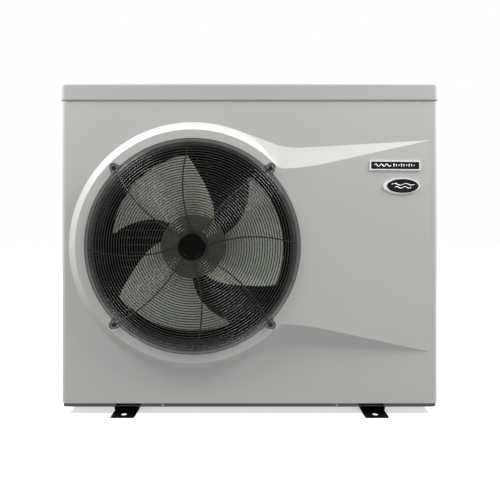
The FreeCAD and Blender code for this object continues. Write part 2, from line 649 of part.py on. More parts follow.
def fan_guard():
    """Concentric wires welded to eight bowed spokes and the motor's mounting plate: one piece.

    The wires have a square section as wide as the round wire, which keeps the welded solid light.
    """
    plane_y = number(FACE) - number("guard_plane")
    r, bar = number("wire / 2"), number("spoke / 2")
    back = Vector(0, 1, 0)
    centre = Vector(number("fan_x"), plane_y, number("fan_z"))
    ring_r = [number("ring_first") + number("ring_pitch") * k for k in range(int(number("ring_count")))]

    def ring(radius, at):
        hole = Part.makeCylinder(radius - r, 2 * r, at - back * r, back)
        return Part.makeCylinder(radius + r, 2 * r, at - back * r, back).cut(hole)

    rings = [ring(radius, centre) for radius in ring_r]
    behind = centre + back * (r + bar - 0.4)

    def spoke(angle, reach):
        start, end = polar(behind, number("spoke_start"), angle), polar(behind, reach, angle)
        bow = polar(Vector(), number("spoke_bow") * reach / number("ear_screw"), angle + 90)
        arc = Part.Arc(start, (start + end) * 0.5 + bow, end).toShape()
        way = arc.tangentAt(arc.FirstParameter)
        side = way.cross(back) * bar
        corners = [start + side + back * bar, start - side + back * bar,
                   start - side - back * bar, start + side - back * bar]
        section = Part.makePolygon(corners + corners[:1])
        return Part.Wire([arc]).makePipeShell([section], True, False)

    parts = rings
    # the eyelets reach back to the ears of the duct ring
    seat_deep = number("guard_plane") + number("duct_wall") + EAR_SET_BACK - (r + bar - 0.4) + 1
    for k in range(4):
        parts.append(spoke(number("rim_lead") + 90 * k, number("spoke_rim")))
        angle = number("ear_angle") + 90 * k
        parts.append(spoke(angle, number("ear_screw") - number("eyelet_r") + 1.2))
        seat = polar(behind, number("ear_screw"), angle)
        parts.append(Part.makeCylinder(number("eyelet_r"), seat_deep, seat - back, back))
    plate = Part.makeCylinder(number("mount_r"), number("mount_thick"), behind + back * (bar - 0.8), back)
    guard = parts[0].multiFuse(parts[1:] + [plate])
    ahead = centre - back * 10
    spots = [polar(ahead, number("ear_screw"), number("ear_angle") + 90 * k) for k in range(4)]
    holes = [Part.makeCylinder(number("screw_r") + 0.2, 40, spot, back) for spot in spots]
    guard = guard.cut(Part.Compound(holes))
    made("fan_guard", max(guard.Solids, key=lambda solid: solid.Volume))


def guard_fittings():
    face = f"{FACE} - guard_plane"
    cap = turned("cap", [(0, 0), ("cap_r", 0), ("cap_r", "cap_thick - 2"), ("cap_r - 2", "cap_thick"),
                         ("cap_r - 7", "cap_thick"), ("cap_r - 8", "cap_thick - 1"), (0, "cap_thick - 1")],
                 ("fan_x", f"{face} + wire / 2 + spoke - 1.2", "fan_z"), TO_FRONT)
    label(cap, "guard_cap")
    members = []
    for turn in range(4):
        angle = f"ear_angle + {90 * turn}"
        x = number("fan_x") + number("ear_screw") * math.cos(math.radians(number(angle)))
        z = number("fan_z") + number("ear_screw") * math.sin(math.radians(number(angle)))
        seat = f"{face} + 2.0"
        head = rod("head", "screw_head_r", "screw_head", (x, f"{seat} - 0.0", z), TO_FRONT)
        shank = rod("shank", "screw_r", 14, (x, f"{seat} + 14", z), TO_FRONT)
        members.append(fuse("screw", head, shank))
    label(group("guard_screw_set", members), "guard_screws")


MOTOR_Y = f"{FACE} + 1.2"


def motor():
    """External-rotor motor: the stator hangs on the guard's plate, the rotor cup turns outside it."""
    start, deep = 8, "rotor_deep"
    stator = turned("stator", [("bearing_r", 0), (34, 0), (34, 6), (26, 6), (26, start + 6),
                               ("stator_r", start + 6), ("stator_r", "rotor_deep - 6"),
                               ("bearing_r", "rotor_deep - 6")],
                    ("fan_x", MOTOR_Y, "fan_z"), TO_REAR)
    label(stator, "motor_stator")
    bearings = []
    for at in ("8", "rotor_deep - 20"):
        ring = rod("race", "bearing_r", "bearing_wide", ("fan_x", f"{MOTOR_Y} + {at}", "fan_z"), TO_REAR)
        bore = rod("race_bore", "shaft_r + 0.02", 30, ("fan_x", f"{MOTOR_Y} + {at} - 5", "fan_z"), TO_REAR)
        bearings.append(cut("bearing", ring, bore))
    label(group("bearing_pair", bearings), "motor_bearings")
    rotor = turned("rotor", [(0, 6), ("shaft_r", 6), ("shaft_r", deep), ("rotor_r - rotor_wall", deep),
                             ("rotor_r - rotor_wall", start + 8), ("rotor_r", start + 8),
                             ("rotor_r", "rotor_deep + rotor_wall"), (0, "rotor_deep + rotor_wall")],
                   ("fan_x", MOTOR_Y, "fan_z"), TO_REAR)
    label(rotor, "motor_rotor")


# blade outline: radius, then the angle of the trailing and the leading edge round the hub
BLADE_EDGES = ((78, 50, 139), (109, 61, 144), (146, 74.5, 151), (185, 84.5, 160), (219, 90.5, 168),
               (236.5, 93.3, 172.5), (243, 94.3, 171))


def blade_section(radius, trail, lead):
    """A closed, thin, cambered section laid on the cylinder of this radius."""
    front, rear = number("blade_front"), number("blade_rear")
    face = number(FACE)
    half = number("blade_thick") / 2
    steps = 8
    span = math.radians(lead - trail)
    chord = radius * span
    camber = 0.07 * chord
    pitch = math.atan2(rear - front, chord)
    upper, lower = [], []
    for index in range(steps + 1):
        part = index / steps
        arch = 4 * camber * part * (1 - part)
        thick = half * (0.5 + 0.5 * math.sin(math.pi * part))
        angle = math.radians(trail) + span * part
        deep = front + (rear - front) * part + arch * 0.6
        for side, line in ((1, upper), (-1, lower)):
            turn = angle - side * thick * math.sin(pitch) / radius
            y = face + deep + side * thick * math.cos(pitch)
            line.append(Vector(radius * math.cos(turn), y, radius * math.sin(turn)))
    top, bottom = Part.BSplineCurve(), Part.BSplineCurve()
    top.interpolate(upper)
    bottom.interpolate(lower[::-1])
    return Part.Wire([top.toShape(), Part.makeLine(upper[-1], lower[-1]), bottom.toShape(),
                      Part.makeLine(lower[0], upper[0])])


def blade_solid():
    """Skin through the blade's sections, closed at root and tip by ruled strips."""
    sections = [blade_section(*edge) for edge in BLADE_EDGES]
    skin = Part.makeLoft(sections, False, False)
    ends = [Part.makeRuledSurface(section.Edges[0], section.Edges[2])
            for section in (sections[0], sections[-1])]
    shell = Part.makeShell(skin.Faces + ends)
    shell.sewShape()
    return Part.makeSolid(shell)


def impeller():
    """Hub band pressed on the rotor, closed in front by a thin web, with three wide sickle blades."""
    face, axis = number(FACE), Vector(0, 1, 0)
    start = Vector(0, face + number("hub_lead"), 0)
    deep = number("blade_rear + 4 - hub_lead")
    bore = Part.makeCylinder(number("rotor_r") + 0.01, 3 * deep, start + axis * number("hub_web"), axis)
    eye = Part.makeCylinder(number("hub_eye_r"), 3 * deep, start - axis * deep, axis)
    hub = Part.makeCylinder(number("hub_r"), deep, start, axis)
    blade = blade_solid()
    blades = []
    for index in range(int(number("blade_count"))):
        copy = blade.copy()
        copy.rotate(Vector(), axis, 360 * index / number("blade_count"))
        blades.append(copy)
    # the hub is bored after the blades are joined, so their roots stay clear of the rotor
    wheel = hub.multiFuse(blades).cut(bore).cut(eye)
    made("fan_impeller", max(wheel.Solids, key=lambda solid: solid.Volume), ("fan_x", 0, "fan_z"))


# ---------------------------------------------------------------- evaporator and partition
def evaporator():
    low = "foot_high + sheet"
    high = f"coil_top - {low}"
    bend_x, bend_y = "-coil_left + coil_bend", "coil_rear - coil_bend"
    left = box("coil_left_leg", ("coil_thick", f"{bend_y} + coil_front", high),
               ("-coil_left", "-coil_front", low))
    rear = box("coil_rear_leg", (f"coil_right - ({bend_x})", "coil_thick", high),
               (bend_x, "coil_rear - coil_thick", low))
    outer = rod("coil_bend_outer", "coil_bend", high, (bend_x, bend_y, low))
    inner = rod("coil_bend_inner", "coil_bend - coil_thick", high, (bend_x, bend_y, low))
    for arc in (outer, inner):
        arc.Angle = 90
        arc.Placement.Rotation = FreeCAD.Rotation(Vector(0, 0, 1), 90)
    label(fuse("coil", left, rear, cut("coil_bend", outer, inner)), "evaporator_coil")

    wide = "coil_thick + 8"
    ends = [box("end_plate", (wide, "end_plate", high), ("-coil_left - 4", "-coil_front - end_plate", low)),
            box("end_plate", ("end_plate", wide, high), ("coil_right", "coil_rear - coil_thick - 4", low))]
    label(group("end_plates", ends), "coil_end_plates")

    bends = []
    rise = number("coil_top") - 90
    count = int(rise / (2 * number("tube_pitch")))
    r, half = number("tube_r"), number("tube_pitch / 2")
    for index in range(count):
        z = 60 + 2 * number("tube_pitch") * index
        front = Vector(number("-coil_left + coil_thick / 2"), number("-coil_front - end_plate"), z)
        right = Vector(number("coil_right + end_plate"), number("coil_rear - coil_thick / 2"), z)
        for centre, out in ((front, Vector(0, -1, 0)), (right, Vector(1, 0, 0))):
            low_end, high_end = centre - Vector(0, 0, half), centre + Vector(0, 0, half)
            path = Part.Arc(low_end, centre + out * half, high_end).toShape()
            section = Part.Wire([Part.Circle(low_end, out, r).toShape()])
            bends.append(Part.Wire([path]).makePipeShell([section], True, False))
    made("coil_return_bends", Part.Compound(bends))


COIL_FEED_Y, COIL_FEED_Z = "coil_rear - coil_thick / 2", 85


def partition():
    wall = box("partition_wall", ("sheet", "depth - 12", "panel_top - foot_high - sheet"),
               ("partition_x", "-depth / 2 + 6", "foot_high + sheet"))
    hole = rod("partition_hole", "pipe_thin + 4", "sheet * 4",
               ("partition_x - 2 * sheet", COIL_FEED_Y, COIL_FEED_Z), TO_RIGHT)
    label(cut("partition", wall, hole), "partition_plate")


def coil_guards():
    rear = number("depth / 2 - sheet") - 3
    left = number("-width / 2 + rear_return") + 3
    across = number("partition_x") - left - 3
    wire_grid("rear_coil_guard", across, 745, (1, 0, 0), (left, rear + 1.2, 70))
    wire_grid("left_coil_guard", 300, 745, (0, 1, 0), (-number("width / 2") + 6.2, -145, 70))


# ---------------------------------------------------------------- refrigerant and water side
def shell_profile(radius, low, high, dome):
    """Profile of a closed vessel with cone-cut ends."""
    return [(0, low), (f"{radius} * 0.55", low), (radius, f"{low} + {dome}"), (radius, f"{high} - {dome}"),
            (f"{radius} * 0.55", high), (0, high)]


def compressor():
    label(turned("vessel", shell_profile("comp_r", "comp_low", "comp_high", 26), ("comp_x", "comp_y", 0)),
          "compressor")
    acc_x = "comp_x - comp_r - acc_gap - acc_r"
    label(turned("bottle", shell_profile("acc_r", "acc_low", "acc_high", 14), (acc_x, "comp_y", 0)),
          "suction_accumulator")
    spots = []
    for index in range(3):
        angle = math.radians(120 * index - 90)
        spots.append((f"comp_x + stud_circle * {math.cos(angle):.6f}",
                      f"comp_y + stud_circle * {math.sin(angle):.6f}"))
    foot_z = "foot_high + sheet + grommet_high"
    body = new_body("compressor_plate")
    reach, cut_off = 106, 28
    corners = []
    for index in range(3):
        for side in (-1, 1):
            angle = math.radians(120 * index - 90) + side * math.atan2(cut_off / 2, reach)
            corners.append((f"{reach * math.cos(angle):.4f}", f"{reach * math.sin(angle):.4f}"))
    holes = [(f"{x} - comp_x", f"{y} - comp_y", "bolt_r + 1.3") for x, y in spots]
    pad(body, outline(body, "XY_Plane", corners, holes), f"comp_low - ({foot_z})")
    label(put(body, ("comp_x", "comp_y", foot_z)), "compressor_foot")
    grommets = []
    for x, y in spots:
        grommets.append(turned("grommet", [("bolt_r + 1", 0), ("grommet_r", 0), ("grommet_r", "grommet_high"),
                                           ("bolt_r + 1", "grommet_high")], (x, y, "foot_high + sheet")))
    label(group("grommet_set", grommets), "compressor_grommets")
    cap = turned("terminal", [(0, 0), ("term_r", 0), ("term_r", "term_high - 5"), ("term_r - 5", "term_high"),
                              (0, "term_high")], ("comp_x", "comp_y", "comp_high"))
    label(cap, "compressor_terminal_cap")


def exchanger():
    r, wall = "hx_r", "hx_wall"
    tube = turned("hx_tube", [(f"{r} - {wall}", "hx_low + hx_cap"), (r, "hx_low + hx_cap"),
                              (r, "hx_high - hx_cap"), (f"{r} - {wall}", "hx_high - hx_cap")],
                  ("hx_x", "hx_y", 0))
    start = "hx_y + hx_r - hx_wall - 3"
    stubs = [rod("hx_stub", "stub_r", f"stub_end - ({start})", ("hx_x", start, z), TO_REAR)
             for z in ("inlet_z", "outlet_z")]
    bores = [rod("hx_bore", "stub_bore", 100, ("hx_x", f"{start} - 20", z), TO_REAR)
             for z in ("inlet_z", "outlet_z")]
    label(cut("hx_shell", fuse("hx_moulding", tube, *stubs), *bores), "exchanger_shell")
    caps = []
    for low, high in (("foot_high + sheet", "hx_low + hx_cap"), ("hx_high - hx_cap", "hx_high")):
        disc = rod("hx_cap", "hx_r + 4", f"{high} - ({low})", ("hx_x", "hx_y", low))
        if high == "hx_high":
            holes = [rod("cap_hole", "ti_tube + fit_gap", 60, (f"hx_x + {x}", "hx_y", "hx_high - 40"))
                     for x in ("port_x", "-port_x")]
            disc = cut("top_cap_drilled", disc, *holes)
        else:
            reliefs = [rod("bolt_relief", "bolt_head_r + 1", "bolt_head + 1", (x, y, low))
                       for x, y in foot_bolt_spots()]
            disc = cut("bottom_cap_relieved", disc, *reliefs)
        caps.append(disc)
    label(group("hx_caps", caps), "exchanger_caps")
    turns = []
    count = int((number("hx_high - hx_low") - 120) / number("ti_pitch"))
    for index in range(count):
        z = number("hx_low") + 50 + number("ti_pitch") * index
        turns.append(Part.makeTorus(number("ti_r"), number("ti_tube"), Vector(0, 0, z)))
    made("titanium_coil", Part.Compound(turns), ("hx_x", "hx_y", 0))


def water_side():
    nuts = []
    for z, way in (("inlet_z", "inlet"), ("outlet_z", "outlet")):
        tail = turned("tail", [("stub_bore", 0), ("collar_r", 0),
                               ("collar_r", "collar"), ("tail_r", "collar"),
                               ("tail_r", "16 + socket_deep"), ("socket_r", "16 + socket_deep"),
                               ("socket_r", 16), ("stub_bore", 16)], ("hx_x", "stub_end", z), TO_REAR)
        label(tail, f"water_{way}")
        gap = "fit_gap"
        nut = turned("union", [(f"stub_r + {gap}", -11), ("nut_r", -11), ("nut_r", "collar + nut_lip"),
                               (f"tail_r + {gap}", "collar + nut_lip"),
                               (f"tail_r + {gap}", f"collar + {gap}"),
                               (f"collar_r + {gap}", f"collar + {gap}"), (f"collar_r + {gap}", f"-{gap}"),
                               (f"stub_r + {gap}", f"-{gap}")], ("hx_x", "stub_end", z), TO_REAR)
        nuts.append(nut)
    label(group("nut_pair", nuts), "union_nuts")
    switch_x = "hx_x - hx_r - 26"
    neck = rod("switch_neck", 12, 25.7, (switch_x, "hx_y", 430), TO_RIGHT)
    head = box("switch_head", (34, 36, 44), (f"{switch_x} - 34", "hx_y - 18", 408))
    label(fuse("switch", neck, head), "flow_switch")
    drain = turned("spigot", [("port_r - 2", 4), ("port_r", 4), ("port_r", "foot_high - 2"),
                              ("port_r + 4", "foot_high - 2"), ("port_r + 4", "foot_high"),
                              ("port_r", "foot_high"), ("port_r", "foot_high + sheet"),
                              ("port_r + 5", "foot_high + sheet"), ("port_r + 5", "foot_high + sheet + 2"),
                              ("port_r - 2", "foot_high + sheet + 2")], ("drain_x", "drain_y", 0))
    label(drain, "drain_spigot")


def pipe(points, radius):
    """A round pipe through the points, each corner rounded by a tangent arc."""
    spots = [Vector(*(number(value) for value in point)) for point in points]
    bend = number("pipe_bend")
    edges, last = [], spots[0]
    for before, corner, after in zip(spots, spots[1:], spots[2:]):
        half = min((before - corner).Length, (after - corner).Length) / 2
        opening = (before - corner).getAngle(after - corner) / 2
        r = min(bend, half * math.tan(opening) * 0.95)
        start, middle, end = corner_arc(before, corner, after, r)
        edges += [Part.makeLine(last, start), Part.Arc(start, middle, end).toShape()]
        last = end
    edges.append(Part.makeLine(last, spots[-1]))
    section = Part.Wire([Part.Circle(spots[0], spots[1] - spots[0], number(radius)).toShape()])
    return Part.Wire(edges).makePipeShell([section], True, False)


def refrigerant_parts():
    start = "valve_x - valve_long / 2"
    body = rod("valve_barrel", "valve_r", "valve_long", (start, "valve_y", "valve_z"), TO_RIGHT)
    ports = [rod("valve_port", "port_r + 2", 34, (f"valve_x + {x}", "valve_y", "valve_z - 44"))
             for x in (-28, 0, 28)]
    ports.append(rod("valve_port", "port_r + 2", 34, ("valve_x", "valve_y", "valve_z + 10")))
    stem = rod("solenoid_stem", "port_r - 0.2", 40, ("valve_x", "valve_y - valve_r - 38", "valve_z"), TO_REAR)
    label(fuse("valve", body, stem, *ports), "four_way_valve")
    coil = turned("solenoid", [("port_r", 0), (17, 0), (17, 30), ("port_r", 30)],
                  ("valve_x", "valve_y - valve_r - 36", "valve_z"), TO_REAR)
    label(coil, "valve_solenoid")
    expansion = turned("expansion", [(0, 0), (9, 0), (9, 16), (19, 16), (19, 44), (12, 52), (0, 52)],
                       (205, 110, 300))
    label(expansion, "expansion_valve")
    drier = turned("drier", [(0, 0), (6, 0), (17, 14), (17, 92), (6, 106), (0, 106)], (205, 110, 194))
    label(drier, "filter_drier")
    gas = [pipe([("comp_x + 44", "comp_y", "comp_high - 3"),
                                              ("comp_x + 44", "comp_y", 580),
                                              ("valve_x", "comp_y", 580), ("valve_x", "valve_y", 580),
                                              ("valve_x", "valve_y", "valve_z + 44.2")], "pipe_r")]
    acc_x = "comp_x - comp_r - acc_gap - acc_r"
    gas.append(pipe([("valve_x", "valve_y", "valve_z - 44.2"), ("valve_x", "valve_y", 372),
                                          (acc_x, "valve_y", 372), (acc_x, "comp_y", 372),
                                          (acc_x, "comp_y", "acc_high + 0.2")], "pipe_r"))
    gas.append(pipe([("valve_x + 28", "valve_y", "valve_z - 44.2"),
                                               ("valve_x + 28", "valve_y", 385), ("hx_x - port_x", -14, 385),
                                               ("hx_x - port_x", -14, 640), ("hx_x - port_x", "hx_y", 640),
                                               ("hx_x - port_x", "hx_y", "hx_high - 16")], "pipe_r"))
    made("gas_pipes", Part.Compound(gas))
    liquid = [pipe([("hx_x + port_x", "hx_y", "hx_high - 16"), ("hx_x + port_x", "hx_y", 634),
                                        ("hx_x + port_x", 150, 634), (205, 150, 634), (205, 110, 590),
                                        (205, 110, 352.2)], "pipe_thin")]
    liquid.append(pipe([(205, 110, 193.8), (205, 110, COIL_FEED_Z),
                                         (205, COIL_FEED_Y, COIL_FEED_Z),
                                         ("coil_right + end_plate + 0.4", COIL_FEED_Y, COIL_FEED_Z)],
                                        "pipe_thin"))
    made("liquid_pipes", Part.Compound(liquid))


# ---------------------------------------------------------------- electrical box
def electrical_box():
    t = "sheet"
    outer = box("ebox_outer", ("ebox_wide", "ebox_deep", "ebox_high"), ("ebox_x", "ebox_y", "ebox_z"))
    inner = box("ebox_inner", (f"ebox_wide - 2 * {t}", f"ebox_deep - 2 * {t}", "ebox_high"),
                (f"ebox_x + {t}", f"ebox_y + {t}", f"ebox_z + {t}"))
    label(cut("ebox", outer, inner), "electrical_box")
    label(box("ebox_lid", ("ebox_wide", "ebox_deep", t), ("ebox_x", "ebox_y", "ebox_z + ebox_high")),
          "electrical_box_cover")
    floor = f"ebox_z + {t}"
    label(box("board", (230, 160, 1.6), ("ebox_x + 26", "ebox_y + 20", f"{floor} + 8")), "control_board")
    cans = [rod("can", 17, 46, (f"ebox_x + {x}", "ebox_y + 60", f"{floor} + 9.6")) for x in (60, 102, 144)]
    label(group("can_set", cans), "smoothing_capacitors")
    strip = box("strip", (120, 24, 20), ("ebox_x + 30", "ebox_y + 196", floor))
    screws = [rod("strip_slot", 3.4, 8, (f"ebox_x + {42 + 19 * k}", "ebox_y + 208", f"{floor} + 14"))
              for k in range(6)]
    label(cut("terminal_strip", strip, *screws), "terminal_block")
    gland = turned("gland_turn", [(6.5, -12), (GLAND_THREAD, -12), (GLAND_THREAD, 0), (15, 0), (15, 7),
                                  (13, 8), (13, 20), (10, 25), (6.5, 25)],
                   (GLAND_X, "depth / 2", GLAND_Z), TO_REAR)
    label(gland, "cable_gland")


# ---------------------------------------------------------------- controller in the right side
CTL_FACE = "width / 2 - lid_overhang"


def controller():
    face, wall = CTL_FACE, "ctl_wall"
    low_y, low_z = "ctl_y - ctl_wide / 2", "ctl_z - ctl_high / 2"
    outer = box("ctl_outer", ("ctl_deep", "ctl_wide", "ctl_high"), (f"{face} - ctl_deep", low_y, low_z))
    pocket = box("ctl_pocket_tool", ("ctl_pocket + 1", f"ctl_wide - 2 * {wall}", f"ctl_high - 2 * {wall}"),
                 (f"{face} - ctl_pocket", f"{low_y} + {wall}", f"{low_z} + {wall}"))
    screen_seat = box("ctl_screen_seat", (4, "screen_wide", "screen_high"),
                      (f"{face} - ctl_pocket - 3", "ctl_y - screen_wide / 2", "ctl_z + 0"))
    wells = [rod("ctl_well", "button_r + 0.4", 12,
                 (f"{face} - ctl_pocket - 8", button_y(index), BUTTON_Z), TO_RIGHT) for index in range(4)]
    pin_hole = rod("ctl_pin_hole", "hinge_r / 2 + 0.05", "ctl_wide - 2",
                   (HINGE_X, f"{low_y} + 1", HINGE_Z), TO_REAR)
    label(cut("ctl", outer, pocket, screen_seat, pin_hole, *wells), "controller_housing")
    screen = box("ctl_screen", (3, "screen_wide - 0.6", "screen_high - 0.6"),
                 (f"{face} - ctl_pocket - 3", "ctl_y - screen_wide / 2 + 0.3", "ctl_z + 0.3"))
    label(screen, "controller_screen")
    for index, name in enumerate(("power", "mode", "up", "down")):
        cap = rod("button_rod", "button_r", "6 + button_proud", (f"{face} - ctl_pocket - 6", button_y(index),
                                                              BUTTON_Z), TO_RIGHT)
        label(cap, f"button_{name}")
    flap_high = f"ctl_high - 2 * {wall} - 1.2 - hinge_r - 1"
    plate = box("flap_plate", ("flap_thick", f"ctl_wide - 2 * {wall} - 1.2", flap_high),
                (f"{HINGE_X} - flap_thick / 2", f"{low_y} + {wall} + 0.6", f"{HINGE_Z} - ({flap_high})"))
    barrel = rod("flap_barrel", "hinge_r", f"ctl_wide - 2 * {wall} - 1.2",
                 (HINGE_X, f"{low_y} + {wall} + 0.6", HINGE_Z), TO_REAR)
    bore = rod("flap_bore", "hinge_r / 2 + 0.05", "ctl_wide", (HINGE_X, low_y, HINGE_Z), TO_REAR)
    label(cut("flap", fuse("flap_blank", plate, barrel), bore), "controller_flap")
    label(rod("flap_pin_rod", "hinge_r / 2", "ctl_wide - 3", (HINGE_X, f"{low_y} + 1.5", HINGE_Z), TO_REAR),
          "flap_hinge_pin")


HINGE_X = "width / 2 - lid_overhang - hinge_r - 0.4"
HINGE_Z = "ctl_z + ctl_high / 2 - ctl_wall - hinge_r - 0.6"
BUTTON_Z = "ctl_z - 26"


def button_y(index):
    return f"ctl_y + button_pitch * {index - 1.5}"


# ---------------------------------------------------------------- build, test and write
foot(-1)
foot(1)
base_pan()
foot_bolts()
top_cover()
cabinet_panels()
front_panel()
badges()
duct_ring()
fan_guard()
guard_fittings()
motor()
impeller()
evaporator()
partition()
coil_guards()
compressor()
exchanger()
water_side()
refrigerant_parts()
electrical_box()
controller()
cabinet_screws()
doc.recompute()
for item in doc.Objects:
    if {"Invalid", "Error"} & set(item.State):
        raise RuntimeError(f"{item.Name} ({item.Label}) failed: {item.State}")
for name, piece in pieces.items():
    shape = piece.Shape
    if shape.isNull() or not shape.isValid():
        raise RuntimeError(f"{name} has no valid shape")
    if not shape.Solids or not all(solid.isClosed() for solid in shape.Solids):
        raise RuntimeError(f"{name} is not a closed solid")
os.makedirs("parts", exist_ok=True)
for name, piece in pieces.items():
    piece.Shape.exportStep(f"parts/{name}.step")
    bounds = piece.Shape.BoundBox
    spans = (bounds.XMin, bounds.XMax, bounds.YMin, bounds.YMax, bounds.ZMin, bounds.ZMax)
    print(f"{name:24s}", len(piece.Shape.Solids), " ".join(f"{value:8.1f}" for value in spans))
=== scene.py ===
"""Looks of the pool heat pump, in metres, in the frame's own axes: +Z up, the front faces -Y."""
import json
import math

import bmesh
import bpy
from mathutils import Matrix, Vector


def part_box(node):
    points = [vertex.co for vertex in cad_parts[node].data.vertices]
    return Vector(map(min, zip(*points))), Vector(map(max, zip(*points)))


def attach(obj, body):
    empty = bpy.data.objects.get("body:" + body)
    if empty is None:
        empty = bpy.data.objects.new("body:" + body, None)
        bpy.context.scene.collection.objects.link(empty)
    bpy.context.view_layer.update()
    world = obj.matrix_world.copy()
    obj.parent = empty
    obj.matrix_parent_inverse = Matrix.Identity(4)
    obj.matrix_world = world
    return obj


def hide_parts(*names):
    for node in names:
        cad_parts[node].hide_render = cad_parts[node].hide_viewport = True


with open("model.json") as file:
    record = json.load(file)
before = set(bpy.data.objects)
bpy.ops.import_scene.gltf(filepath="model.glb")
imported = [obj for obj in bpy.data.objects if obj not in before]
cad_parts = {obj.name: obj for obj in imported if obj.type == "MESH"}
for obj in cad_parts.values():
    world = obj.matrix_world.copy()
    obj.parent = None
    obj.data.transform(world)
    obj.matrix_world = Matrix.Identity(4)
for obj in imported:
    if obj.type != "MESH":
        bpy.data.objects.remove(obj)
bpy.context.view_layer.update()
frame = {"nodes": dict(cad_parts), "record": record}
NODES = frame["nodes"]
SLOTS = {entry["node"]: entry["material_slot"] for entry in frame["record"]["subparts"]}


# ---------------------------------------------------------------- places read from the frame
def middle(node):
    low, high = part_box(node)
    return (low + high) / 2


GUARD_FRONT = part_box("fan_guard")[0].y
DUCT_LOW, DUCT_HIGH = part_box("fan_duct_ring")
COIL_LOW, COIL_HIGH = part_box("evaporator_coil")
WHEEL_LOW, WHEEL_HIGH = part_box("fan_impeller")
FAN = Vector((middle("guard_cap").x, 0, middle("guard_cap").z))
BASE_Y = -0.205                      # the flat of the front panel


# ---------------------------------------------------------------- materials
def finish(name, color, rough, metal=0.0, grain=900.0, depth=0.02, mottle=0.04, mottle_scale=6.0,
           coat=0.0, sheen=0.0, transmission=0.0, specular=0.5):
    """A surface with fine grain in its height, and slow changes in its colour and gloss."""
    mat = bpy.data.materials.new(name)
    mat.use_nodes = True
    nodes, links = mat.node_tree.nodes, mat.node_tree.links
    shader = nodes["Principled BSDF"]
    place = nodes.new("ShaderNodeTexCoord")
    slow = nodes.new("ShaderNodeTexNoise")
    slow.inputs["Scale"].default_value = mottle_scale
    slow.inputs["Detail"].default_value = 5
    links.new(place.outputs["Object"], slow.inputs["Vector"])
    shades = nodes.new("ShaderNodeValToRGB")
    shades.color_ramp.elements[0].position = 0.3
    shades.color_ramp.elements[1].position = 0.7
    for element, change in zip(shades.color_ramp.elements, (1 - mottle, 1 + mottle)):
        element.color = (*[min(1, value * change) for value in color], 1)
    links.new(slow.outputs["Fac"], shades.inputs["Fac"])
    links.new(shades.outputs["Color"], shader.inputs["Base Color"])
    gloss = nodes.new("ShaderNodeMapRange")
    gloss.inputs["To Min"].default_value = max(0.02, rough - 0.06)
    gloss.inputs["To Max"].default_value = min(1, rough + 0.06)
    links.new(slow.outputs["Fac"], gloss.inputs["Value"])
    links.new(gloss.outputs["Result"], shader.inputs["Roughness"])
    fine = nodes.new("ShaderNodeTexNoise")
    fine.inputs["Scale"].default_value = grain
    fine.inputs["Detail"].default_value = 2
    links.new(place.outputs["Object"], fine.inputs["Vector"])
    bump = nodes.new("ShaderNodeBump")
    bump.inputs["Strength"].default_value = min(1, depth * 10)
    bump.inputs["Distance"].default_value = 0.0002
    links.new(fine.outputs["Fac"], bump.inputs["Height"])
    links.new(bump.outputs["Normal"], shader.inputs["Normal"])
    shader.inputs["Metallic"].default_value = metal
    shader.inputs["Specular IOR Level"].default_value = specular
    shader.inputs["Coat Weight"].default_value = coat
    shader.inputs["Coat Roughness"].default_value = 0.2
    shader.inputs["Sheen Weight"].default_value = sheen
    shader.inputs["Transmission Weight"].default_value = transmission
    return mat


